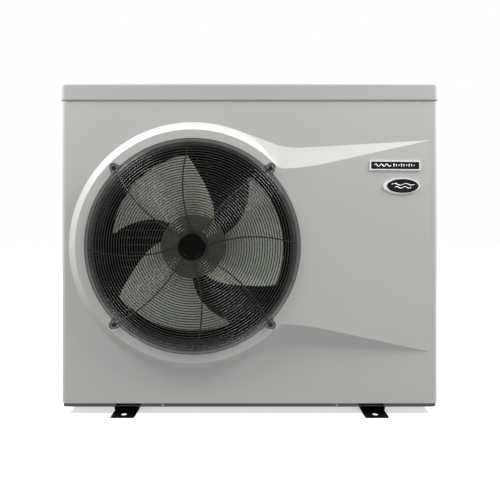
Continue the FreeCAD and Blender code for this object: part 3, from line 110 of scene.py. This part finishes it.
MATERIALS = {
    "panel_white": finish("powder_coat", (0.50, 0.505, 0.485), 0.42, grain=1400, mottle=0.015,
                          mottle_scale=3),
    "lid_white": finish("lid_coat", (0.47, 0.475, 0.46), 0.42, grain=1400, mottle=0.015, mottle_scale=3),
    "pan_grey": finish("pan_coat", (0.13, 0.135, 0.125), 0.5, grain=1200, mottle=0.08),
    "foot_black": finish("foot_coat", (0.002, 0.002, 0.002), 0.55, grain=1200, mottle=0.2, specular=0.08),
    "zinc_screws": finish("zinc", (0.40, 0.40, 0.39), 0.35, 0.9, grain=2000, mottle=0.12, mottle_scale=200),
    "guard_black": finish("guard_coat", (0.008, 0.009, 0.007), 0.24, grain=1800, mottle=0.15,
                          mottle_scale=40, coat=0.3),
    "guard_cap_black": finish("cap_plastic", (0.0018, 0.002, 0.0012), 0.5, grain=1600, depth=0.05,
                              mottle=0.15, mottle_scale=60, specular=0.08),
    "guard_screw_steel": finish("black_screw", (0.02, 0.02, 0.02), 0.4, 0.6, mottle=0.1, mottle_scale=200),
    "duct_grey": finish("duct_coat", (0.26, 0.26, 0.25), 0.45, grain=1200, mottle=0.06),
    "blade_sage": finish("blade_moulding", (0.80, 0.86, 0.72), 0.32, grain=700, mottle=0.05, mottle_scale=9),
    "motor_dark": finish("motor_coat", (0.13, 0.15, 0.09), 0.45, grain=900, mottle=0.1, mottle_scale=30),
    "stator_metal": finish("cast_metal", (0.34, 0.37, 0.29), 0.5, 0.2, grain=600, depth=0.06, mottle=0.1,
                           mottle_scale=60),
    "bearing_steel": finish("ground_steel", (0.5, 0.5, 0.5), 0.2, 1.0, mottle=0.05, mottle_scale=300),
    "coil_fin": finish("fin_coat", (0.045, 0.05, 0.06), 0.45, 0.4, grain=900, mottle=0.15, mottle_scale=20),
    "coil_plate": finish("coil_plate_zinc", (0.42, 0.43, 0.43), 0.4, 0.9, mottle=0.15, mottle_scale=50),
    "copper": finish("dull_copper", (0.55, 0.26, 0.15), 0.35, 1.0, mottle=0.18, mottle_scale=60),
    "galvanised": finish("galvanised_sheet", (0.40, 0.41, 0.41), 0.42, 0.9, mottle=0.14, mottle_scale=45),
    "grid_black": finish("grid_coat", (0.015, 0.015, 0.015), 0.4, mottle=0.2, mottle_scale=60),
    "compressor_black": finish("vessel_enamel", (0.013, 0.013, 0.013), 0.3, mottle=0.2,
                               mottle_scale=25, coat=0.2),
    "rubber_black": finish("rubber", (0.018, 0.018, 0.018), 0.8, grain=500, depth=0.06, mottle=0.2),
    "cap_black": finish("grained_black", (0.02, 0.02, 0.02), 0.55, grain=900, depth=0.06, mottle=0.15),
    "pvc_grey": finish("pvc", (0.13, 0.14, 0.15), 0.4, grain=600, mottle=0.06, mottle_scale=15),
    "titanium": finish("titanium_tube", (0.38, 0.36, 0.34), 0.3, 1.0, mottle=0.1, mottle_scale=80),
    "brass_body": finish("cast_brass", (0.55, 0.38, 0.16), 0.35, 1.0, grain=500, depth=0.05, mottle=0.12),
    "solenoid_black": finish("potted_coil", (0.02, 0.02, 0.03), 0.45, mottle=0.1),
    "drier_copper": finish("drier_shell", (0.50, 0.25, 0.15), 0.32, 1.0, mottle=0.15, mottle_scale=50),
    "board_green": finish("solder_mask", (0.02, 0.12, 0.05), 0.3, mottle=0.2, mottle_scale=150, coat=0.4),
    "can_blue": finish("can_sleeve", (0.03, 0.05, 0.18), 0.25, mottle=0.05, coat=0.3),
    "terminal_cream": finish("terminal_moulding", (0.60, 0.57, 0.47), 0.5, mottle=0.05),
    "badge_silver": finish("satin_silver", (0.86, 0.86, 0.85), 0.32, 0.1, grain=2500, mottle=0.04,
                           mottle_scale=80),
    "badge_black": finish("gloss_black", (0.005, 0.005, 0.005), 0.2, grain=500, depth=0.005,
                          mottle=0.1, specular=0.25, coat=0.1),
    "controller_grey": finish("housing_grain", (0.27, 0.28, 0.28), 0.55, grain=1100, depth=0.07, mottle=0.04),
    "screen_glass": finish("display_window", (0.012, 0.018, 0.024), 0.08, mottle=0.15, coat=0.8),
    "flap_clear": finish("smoked_cover", (0.55, 0.58, 0.60), 0.12, mottle=0.04, transmission=0.85),
    "pin_steel": finish("pin_ground", (0.6, 0.6, 0.6), 0.22, 1.0, mottle=0.05, mottle_scale=300),
    "button_grey": finish("soft_button", (0.48, 0.48, 0.46), 0.7, grain=900, depth=0.04, mottle=0.04,
                          sheen=0.2),
}


def painted_depth_shade(mat, start, end, least):
    """Darken a surface with depth along Y: painted shade standing in for the shade that falls inside a fan
    duct.
    """
    nodes, links = mat.node_tree.nodes, mat.node_tree.links
    shader = nodes["Principled BSDF"]
    unshaded_color = shader.inputs["Base Color"].links[0].from_socket
    place = nodes.new("ShaderNodeTexCoord")
    split = nodes.new("ShaderNodeSeparateXYZ")
    links.new(place.outputs["Object"], split.inputs["Vector"])
    depth = nodes.new("ShaderNodeMapRange")
    depth.inputs["From Min"].default_value = start
    depth.inputs["From Max"].default_value = end
    depth.inputs["To Min"].default_value = 0
    depth.inputs["To Max"].default_value = 1 - least
    links.new(split.outputs["Y"], depth.inputs["Value"])
    mix = nodes.new("ShaderNodeMix")
    mix.data_type = "RGBA"
    links.new(depth.outputs["Result"], mix.inputs["Factor"])
    links.new(unshaded_color, mix.inputs["A"])
    mix.inputs["B"].default_value = (0, 0, 0, 1)
    links.new(mix.outputs["Result"], shader.inputs["Base Color"])


# painted shade: the duct's grey darkens to a tenth of itself from 3 mm to 20 mm behind its front
painted_depth_shade(MATERIALS["duct_grey"], DUCT_LOW.y + 0.003, DUCT_LOW.y + 0.020, 0.1)


def dress(obj, slot):
    """Give an object the material of the record's slot it stands for."""
    obj.data.materials.clear()
    obj.data.materials.append(MATERIALS[slot])
    return obj


def smooth(obj, degrees=35):
    """Smooth shading, with edges sharper than the angle kept crisp."""
    obj.data.shade_smooth()
    obj.data.set_sharp_from_angle(angle=math.radians(degrees))
    return obj


for node, obj in NODES.items():
    for index in range(len(obj.data.materials)):
        obj.data.materials[index] = MATERIALS[SLOTS[node]]
    if not obj.data.materials:
        obj.data.materials.append(MATERIALS[SLOTS[node]])


# ---------------------------------------------------------------- mesh helpers
def piece(name, mesh, slot, body="cabinet"):
    obj = bpy.data.objects.new(name, mesh)
    bpy.context.scene.collection.objects.link(obj)
    dress(obj, slot)
    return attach(obj, body)


def tube_mesh(bm, points, radius, closed=False, sides=10):
    """Add a round tube that follows the points."""
    count = len(points)
    rings = []
    for index, point in enumerate(points):
        if closed:
            way = points[(index + 1) % count] - points[index - 1]
        else:
            way = points[min(index + 1, count - 1)] - points[max(index - 1, 0)]
        way.normalize()
        across = way.cross(Vector((0, 1, 0)))
        if across.length < 1e-4:
            across = way.cross(Vector((1, 0, 0)))
        across.normalize()
        up = across.cross(way).normalized()
        rings.append([bm.verts.new(point + (across * math.cos(2 * math.pi * k / sides)
                                            + up * math.sin(2 * math.pi * k / sides)) * radius)
                      for k in range(sides)])
    spans = range(count) if closed else range(count - 1)
    for index in spans:
        a, b = rings[index], rings[(index + 1) % count]
        for k in range(sides):
            bm.faces.new((a[k], a[(k + 1) % sides], b[(k + 1) % sides], b[k]))
    if not closed:
        bm.faces.new(rings[0][::-1])
        bm.faces.new(rings[-1])


def mesh_from(bm, name):
    bmesh.ops.recalc_face_normals(bm, faces=bm.faces)
    mesh = bpy.data.meshes.new(name)
    bm.to_mesh(mesh)
    bm.free()
    mesh.shade_smooth()
    return mesh


def round_the_fan(radius, degrees, y):
    angle = math.radians(degrees)
    return Vector((FAN.x + radius * math.cos(angle), y, FAN.z + radius * math.sin(angle)))


# ---------------------------------------------------------------- fan guard
RING_FIRST, RING_PITCH, RING_COUNT = 0.0475, 0.00672, 34
WIRE, SPOKE, EYELET_WIRE = 0.0014, 0.0019, 0.0018      # half the thickness of each wire
RING_STEPS = 160
SPOKE_START, SPOKE_BOW, SPOKE_TURN = 0.0362, 0.022, 1.5
SHORT_REACH, LONG_REACH = 0.2705, 0.2817               # spokes to the rim, and to the eyelets
EAR_RADIUS, EYELET_RADIUS = 0.287, 0.0046
PLATE_EYE, PLATE_RIM, PLATE_EDGE, PLATE_THICK = 0.020, 0.0395, 0.001, 0.003


def fan_guard():
    """Concentric wires, eight bowed spokes, four eyelets and the motor's mounting plate."""
    bm = bmesh.new()
    front = GUARD_FRONT + WIRE
    for index in range(RING_COUNT):
        radius = RING_FIRST + RING_PITCH * index
        tube_mesh(bm, [round_the_fan(radius, 360 * k / RING_STEPS, front) for k in range(RING_STEPS)],
                  WIRE, True, 8)
    behind = front + 0.003

    def spoke(angle, reach):
        start = round_the_fan(SPOKE_START, angle, behind)
        end = round_the_fan(reach, angle, behind)
        bow = SPOKE_BOW * reach / EAR_RADIUS
        side = Vector((-math.sin(math.radians(angle)), 0, math.cos(math.radians(angle))))
        points = []
        for k in range(25):
            part = k / 24
            points.append(start.lerp(end, part) + side * bow * 4 * part * (1 - part))
        tube_mesh(bm, points, SPOKE, False, 10)

    for quarter in range(4):
        spoke(SPOKE_TURN + 90 * quarter, SHORT_REACH)
        spoke(45 + 90 * quarter, LONG_REACH)
    plate = behind + 0.0012
    turned_mesh(bm, [(PLATE_EYE, plate), (PLATE_RIM - PLATE_EDGE, plate), (PLATE_RIM, plate + PLATE_EDGE),
                     (PLATE_RIM, plate + PLATE_THICK), (PLATE_EYE, plate + PLATE_THICK)])
    for quarter in range(4):
        screw = round_the_fan(EAR_RADIUS, 45 + 90 * quarter, 0)
        loop = []
        for k in range(24):
            angle = 2 * math.pi * k / 24
            loop.append(Vector((screw.x + EYELET_RADIUS * math.cos(angle), behind + 0.0008,
                                screw.z + EYELET_RADIUS * math.sin(angle))))
        tube_mesh(bm, loop, EYELET_WIRE, True, 10)
    guard = smooth(piece("guard_wires", mesh_from(bm, "guard_wires"), "guard_black"), 60)
    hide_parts("fan_guard")


# ---------------------------------------------------------------- impeller
# radius in mm, then the angles of the trailing and leading edges in degrees
BLADE_EDGES = ((78, 50, 139), (109, 61, 144), (146, 74.5, 151), (185, 84.5, 160), (219, 90.5, 168),
               (236.5, 93.3, 172.5), (243, 94.3, 171))
BLADE_THICK, BLADE_DEEP, BLADE_SET_BACK = 0.0030, 0.0775, 0.004
CAMBER, TIP_THIN = 0.07 * 0.6, 0.35


def eased(values, place):
    """Catmull-Rom value at a fractional index of a short list."""
    index = min(int(place), len(values) - 2)
    part = place - index
    a = values[max(index - 1, 0)]
    b, c = values[index], values[index + 1]
    d = values[min(index + 2, len(values) - 1)]
    return b + 0.5 * part * (c - a + part * (2 * a - 5 * b + 4 * c - d + part * (3 * (b - c) + d - a)))


def blade(bm, turn):
    """One wide sickle blade: a twisted, cambered sheet with thickness and rounded tips."""
    across, along = 28, 26
    rear = WHEEL_HIGH.y - BLADE_SET_BACK
    front = rear - BLADE_DEEP
    sides = ([], [])
    for j in range(along + 1):
        place = (len(BLADE_EDGES) - 1) * j / along
        radius = eased([edge[0] for edge in BLADE_EDGES], place) / 1000
        trail = math.radians(eased([edge[1] for edge in BLADE_EDGES], place))
        lead = math.radians(eased([edge[2] for edge in BLADE_EDGES], place))
        chord = radius * (lead - trail)
        pitch = math.atan2(rear - front, chord)
        rows = ([], [])
        for i in range(across + 1):
            part = i / across
            thick = BLADE_THICK / 2 * (TIP_THIN + (1 - TIP_THIN) * math.sin(math.pi * part) ** 0.5)
            angle = trail + (lead - trail) * part
            deep = (rear - front) * part + 4 * CAMBER * chord * part * (1 - part)
            for side, row in zip((1, -1), rows):
                theta = angle - side * thick * math.sin(pitch) / radius + turn
                y = front + deep + side * thick * math.cos(pitch)
                row.append(bm.verts.new((FAN.x + radius * math.cos(theta), y,
                                         FAN.z + radius * math.sin(theta))))
        for side in (0, 1):
            sides[side].append(rows[side])
    for side in (0, 1):
        for j in range(along):
            for i in range(across):
                quad = [sides[side][j][i], sides[side][j][i + 1],
                        sides[side][j + 1][i + 1], sides[side][j + 1][i]]
                bm.faces.new(quad if side == 0 else quad[::-1])
    for j in range(along):
        for i in (0, across):
            bm.faces.new((sides[0][j][i], sides[0][j + 1][i], sides[1][j + 1][i], sides[1][j][i]))
    for i in range(across):
        for j in (0, along):
            bm.faces.new((sides[0][j][i], sides[0][j][i + 1], sides[1][j][i + 1], sides[1][j][i]))


def turned_mesh(bm, profile, steps=96):
    """Turn a closed (radius, y) profile round the fan's axis."""
    loops = []
    for radius, y in profile:
        loops.append([bm.verts.new((FAN.x + radius * math.cos(2 * math.pi * k / steps), y,
                                    FAN.z + radius * math.sin(2 * math.pi * k / steps)))
                      for k in range(steps)])
    for a, b in zip(loops, loops[1:] + loops[:1]):
        for k in range(steps):
            bm.faces.new((a[k], a[(k + 1) % steps], b[(k + 1) % steps], b[k]))


def impeller():
    """Three blades, and the darker hub that carries them."""
    bm = bmesh.new()
    for index in range(3):
        blade(bm, 2 * math.pi * index / 3)
    wheel = smooth(piece("impeller_wheel", mesh_from(bm, "impeller_wheel"), "blade_sage", "fan"), 40)
    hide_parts("fan_impeller")
    front, rear = WHEEL_LOW.y, WHEEL_HIGH.y
    eye, bore, rim, edge, web = 0.038, 0.0682, 0.083, 0.0025, 0.0015
    bm = bmesh.new()
    turned_mesh(bm, [(eye, front), (rim - edge, front), (rim - 0.3 * edge, front + 0.3 * edge),
                     (rim, front + edge), (rim, rear - edge), (rim - edge, rear), (bore, rear),
                     (bore, front + web), (eye, front + web)])
    hub = smooth(piece("impeller_hub", mesh_from(bm, "impeller_hub"), "motor_dark", "fan"), 40)
    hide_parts("fan_impeller")


# ---------------------------------------------------------------- duct ring
EAR_CENTRE, EAR_TIP, EAR_ROOT, EAR_HALF_BASE, EAR_THICK = 0.290, 0.010, 0.2775, 0.0162, 0.003


def duct_ring():
    """Rolled bell mouth with two stiffening beads and the four screw ears."""
    bm = bmesh.new()
    front, rear = DUCT_LOW.y, DUCT_HIGH.y
    deep = rear - front
    mouth, throat, wall, bell = 0.2803, 0.262, 0.0025, 0.028 / deep

    def radius(part):
        flare = 1 - math.sqrt(1 - max(0, 1 - part / bell) ** 2)
        bead = 0.0012 * sum(math.exp(-((part - at) / 0.02) ** 2) for at in (0.62, 0.86))
        return throat + (mouth - wall - throat) * flare - bead

    stations = [bell * (k / 16) ** 2 for k in range(16)] + [bell + (1 - bell) * k / 30 for k in range(31)]
    inner = [(radius(part), front + deep * part) for part in stations]
    outer = [(r + wall, y) for r, y in inner[::-1]]
    turned_mesh(bm, inner + outer, 160)
    for quarter in range(4):
        angle = 45 + 90 * quarter
        out = Vector((math.cos(math.radians(angle)), 0, math.sin(math.radians(angle))))
        side = Vector((-out.z, 0, out.x))
        rim = []
        for k in range(13):
            theta = math.pi * (k / 12 - 0.5)
            rim.append(round_the_fan(EAR_CENTRE, angle, 0) + out * EAR_TIP * math.cos(theta)
                       + side * EAR_TIP * math.sin(theta))
        low = round_the_fan(EAR_ROOT, angle, 0)
        rim = [low - side * EAR_HALF_BASE] + rim + [low + side * EAR_HALF_BASE]
        faces = []
        for y in (front, front + EAR_THICK):
            faces.append([bm.verts.new((p.x, y, p.z)) for p in rim])
        count = len(rim)
        bm.faces.new(faces[0])
        bm.faces.new(faces[1][::-1])
        for k in range(count):
            bm.faces.new((faces[0][k], faces[0][(k + 1) % count], faces[1][(k + 1) % count], faces[1][k]))
    ring = smooth(piece("duct_ring", mesh_from(bm, "duct_ring"), "duct_grey"), 40)
    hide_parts("fan_duct_ring")


# ---------------------------------------------------------------- evaporator coil
COIL_BEND, COIL_INNER_Y = 0.090, 0.155
TUBE_RADIUS, TUBE_PITCH = 0.0042, 0.0254
FIN_GAP, FIN_WAVE, FINS_IN_BEND = 0.0034, 0.0017, 48


def evaporator():
    """Two rows of level tubes in thin upright fins, bent round the rear left corner."""
    bend, thick = COIL_BEND, COIL_HIGH.y - COIL_INNER_Y
    low_z, high_z = COIL_LOW.z, COIL_HIGH.z
    corner = Vector((COIL_LOW.x + bend, COIL_HIGH.y - bend, 0))

    def run(inset):
        """Plan of the coil at a depth below its outer face, from the front left end to the right end."""
        reach = bend - inset
        points = [Vector((COIL_LOW.x + inset, COIL_LOW.y, 0)),
                  Vector((COIL_LOW.x + inset, corner.y, 0))]
        for k in range(1, 9):
            angle = math.pi - math.pi / 2 * k / 8
            points.append(corner + Vector((math.cos(angle), math.sin(angle), 0)) * reach)
        points.append(Vector((COIL_HIGH.x, COIL_HIGH.y - inset, 0)))
        return points

    tubes = bmesh.new()
    rows = int((high_z - low_z - 0.02) / TUBE_PITCH)
    for inset, shift in ((0.30 * thick, 0), (thick - TUBE_RADIUS, 0.5)):
        for index in range(rows):
            z = low_z + 0.016 + TUBE_PITCH * (index + shift)
            tube_mesh(tubes, [p + Vector((0, 0, z)) for p in run(inset)], TUBE_RADIUS, False, 8)
    piece("coil_tubes", mesh_from(tubes, "coil_tubes"), "coil_plate")

    fins = bmesh.new()

    def fin(a, b):
        """One corrugated fin from the outer face to just short of the tubes' inner side."""
        way = (b - a).normalized()
        b = b - way * 0.0005
        side = Vector((-way.y, way.x, 0)) * FIN_WAVE
        line = [a.lerp(b, k / 6) + side * (0, 1, 0, -1)[k % 4] for k in range(7)]
        lower = [fins.verts.new((p.x, p.y, low_z)) for p in line]
        upper = [fins.verts.new((p.x, p.y, high_z)) for p in line]
        for k in range(6):
            fins.faces.new((lower[k], lower[k + 1], upper[k + 1], upper[k]))

    for k in range(int((corner.y - COIL_LOW.y) / FIN_GAP)):
        y = COIL_LOW.y + FIN_GAP * k
        fin(Vector((COIL_LOW.x, y, 0)), Vector((COIL_LOW.x + thick, y, 0)))
    for k in range(FINS_IN_BEND):
        angle = math.pi - math.pi / 2 * k / FINS_IN_BEND
        way = Vector((math.cos(angle), math.sin(angle), 0))
        fin(corner + way * bend, corner + way * (bend - thick))
    for k in range(int((COIL_HIGH.x - corner.x) / FIN_GAP)):
        x = corner.x + FIN_GAP * k
        fin(Vector((x, COIL_HIGH.y, 0)), Vector((x, COIL_HIGH.y - thick, 0)))
    fin_obj = piece("coil_fins", mesh_from(fins, "coil_fins"), "coil_fin")
    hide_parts("evaporator_coil")


# ---------------------------------------------------------------- badges
FIELD_RISE, FIELD_EASE_X, FIELD_TIP_X = 0.020, 0.150, 0.476
SLOPE = math.atan2(FIELD_RISE, FIELD_TIP_X - FIELD_EASE_X)
STROKE_THICK = 0.0003
BAR_FACE_LIFT, OVAL_FACE_LIFT = 0.00225, 0.00295       # the front of each badge, off the field


def on_slope(x, z, lift):
    """Frame of a badge on the sloping field: local X runs along it, local -Y stands off it."""
    base = Vector((x, BASE_Y - (FIELD_TIP_X - x) * math.tan(SLOPE), z))
    turn = Matrix.Rotation(SLOPE, 4, "Z")
    return Matrix.Translation(base) @ turn @ Matrix.Translation((0, -lift, 0))


def ribbon(bm, points, width, thick):
    """A raised flat stroke along points given in the badge's own X and Z."""
    count = len(points)
    rows = []
    for index, (x, z) in enumerate(points):
        before = points[max(index - 1, 0)]
        after = points[min(index + 1, count - 1)]
        way = Vector((after[0] - before[0], 0, after[1] - before[1])).normalized()
        side = Vector((-way.z, 0, way.x)) * width / 2
        here = Vector((x, 0, z))
        rows.append([bm.verts.new(here + side), bm.verts.new(here - side),
                     bm.verts.new(here - side - Vector((0, thick, 0))),
                     bm.verts.new(here + side - Vector((0, thick, 0)))])
    for a, b in zip(rows, rows[1:]):
        for k in range(4):
            bm.faces.new((a[k], a[(k + 1) % 4], b[(k + 1) % 4], b[k]))
    bm.faces.new(rows[0])
    bm.faces.new(rows[-1][::-1])


def badge_marks():
    """Generic marks in place of lettering: a wave and bars on the plate, a wave on the oval."""
    bar = middle("bar_badge_plate")
    bm = bmesh.new()
    wave = [(-0.056 + 0.044 * k / 30, 0.0032 * math.sin(6 * math.pi * k / 30)) for k in range(31)]
    ribbon(bm, wave, 0.0022, STROKE_THICK)
    for index in range(9):
        x = -0.004 + 0.0068 * index
        half = 0.0042 - 0.0012 * (index % 3)
        ribbon(bm, [(x, -half), (x, half)], 0.0024, STROKE_THICK)
    bm.transform(on_slope(bar.x, bar.z, BAR_FACE_LIFT))
    piece("bar_badge_marks", mesh_from(bm, "bar_badge_marks"), "badge_silver")

    oval = middle("oval_badge_plate")
    bm = bmesh.new()
    for level, long in ((0.004, 0.030), (-0.004, 0.022)):
        line = [(0.003 - long + 2 * long * k / 30, level + 0.0022 * math.sin(4 * math.pi * k / 30))
                for k in range(31)]
        ribbon(bm, line, 0.0018, STROKE_THICK)
    bm.transform(on_slope(oval.x, oval.z, OVAL_FACE_LIFT))
    piece("oval_badge_marks", mesh_from(bm, "oval_badge_marks"), "badge_silver")


# ---------------------------------------------------------------- controller details
def controller_details():
    """Six level bars on the display."""
    low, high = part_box("controller_screen")
    bm = bmesh.new()
    face = high.x
    wide, tall = high.y - low.y, high.z - low.z
    for index in range(6):
        y = low.y + wide * (0.14 + 0.05 * index)
        far_y = y + wide * 0.03
        foot, top = low.z + tall * 0.2, low.z + tall * (0.3 + 0.09 * index)
        corners = [(y, foot), (far_y, foot), (far_y, top), (y, top)]
        near = [bm.verts.new((face + 0.0002, a, b)) for a, b in corners]
        far = [bm.verts.new((face + 0.00005, a, b)) for a, b in corners]
        bm.faces.new(near)
        bm.faces.new(far[::-1])
        for k in range(4):
            bm.faces.new((near[k], near[(k + 1) % 4], far[(k + 1) % 4], far[k]))
    piece("display_bars", mesh_from(bm, "display_bars"), "badge_silver")

# ---------------------------------------------------------------- stage, light and camera
def stage():
    """A plain pale floor, an even white surround and three soft lamps."""
    bpy.ops.mesh.primitive_plane_add(size=14, location=(0, 3.0, 0))
    floor = bpy.context.object
    floor.name = "studio_floor"
    mat = bpy.data.materials.new("studio_floor")
    mat.use_nodes = True
    pale = mat.node_tree.nodes["Principled BSDF"].inputs
    pale["Base Color"].default_value = (0.93, 0.93, 0.93, 1)
    pale["Roughness"].default_value = 0.9
    pale["Emission Color"].default_value = (1, 1, 1, 1)
    pale["Emission Strength"].default_value = 0.55
    floor.data.materials.append(mat)
    floor.visible_diffuse = False
    floor.visible_glossy = False
    world = bpy.data.worlds.new("studio")
    bpy.context.scene.world = world
    world.use_nodes = True
    nodes, links = world.node_tree.nodes, world.node_tree.links
    glow = nodes["Background"]
    glow.inputs["Color"].default_value = (1, 1, 1, 1)
    glow.inputs["Strength"].default_value = 0.55
    paper = nodes.new("ShaderNodeBackground")
    paper.inputs["Color"].default_value = (1, 1, 1, 1)
    seen = nodes.new("ShaderNodeLightPath")
    mix = nodes.new("ShaderNodeMixShader")
    links.new(seen.outputs["Is Camera Ray"], mix.inputs["Fac"])
    links.new(glow.outputs["Background"], mix.inputs[1])
    links.new(paper.outputs["Background"], mix.inputs[2])
    links.new(mix.outputs["Shader"], nodes["World Output"].inputs["Surface"])

    def area(name, power, size, place, aim):
        data = bpy.data.lights.new(name, "AREA")
        data.energy = power
        data.size = size
        lamp = bpy.data.objects.new(name, data)
        lamp.location = place
        lamp.rotation_euler = (Vector(aim) - Vector(place)).to_track_quat("-Z", "Y").to_euler()
        bpy.context.scene.collection.objects.link(lamp)

    area("softbox_left", 90, 1.0, (-1.9, -0.50, 2.35), (0, -0.2, 0.45))
    area("softbox_right", 113, 1.0, (1.9, -0.50, 2.35), (0, -0.2, 0.45))
    area("softbox_rear", 60, 1.6, (0.4, 2.6, 2.4), (0, 0.2, 0.45))


CAMERA_PLACE = (0.0008, BASE_Y - 1.25, 0.5057)
CAMERA_LENS, CAMERA_SHIFT = 34.11, -0.054


def camera():
    """The lens axis is level, and the shift keeps the cabinet's uprights parallel."""
    data = bpy.data.cameras.new("camera")
    data.sensor_width = 36
    data.lens = CAMERA_LENS
    data.shift_y = CAMERA_SHIFT
    cam = bpy.data.objects.new("camera", data)
    cam.location = CAMERA_PLACE
    cam.rotation_euler = (math.radians(90), 0, 0)
    bpy.context.scene.collection.objects.link(cam)
    bpy.context.scene.camera = cam


fan_guard()
impeller()
duct_ring()
evaporator()
badge_marks()
controller_details()
stage()
camera()
bpy.context.scene.view_settings.view_transform = "Standard"
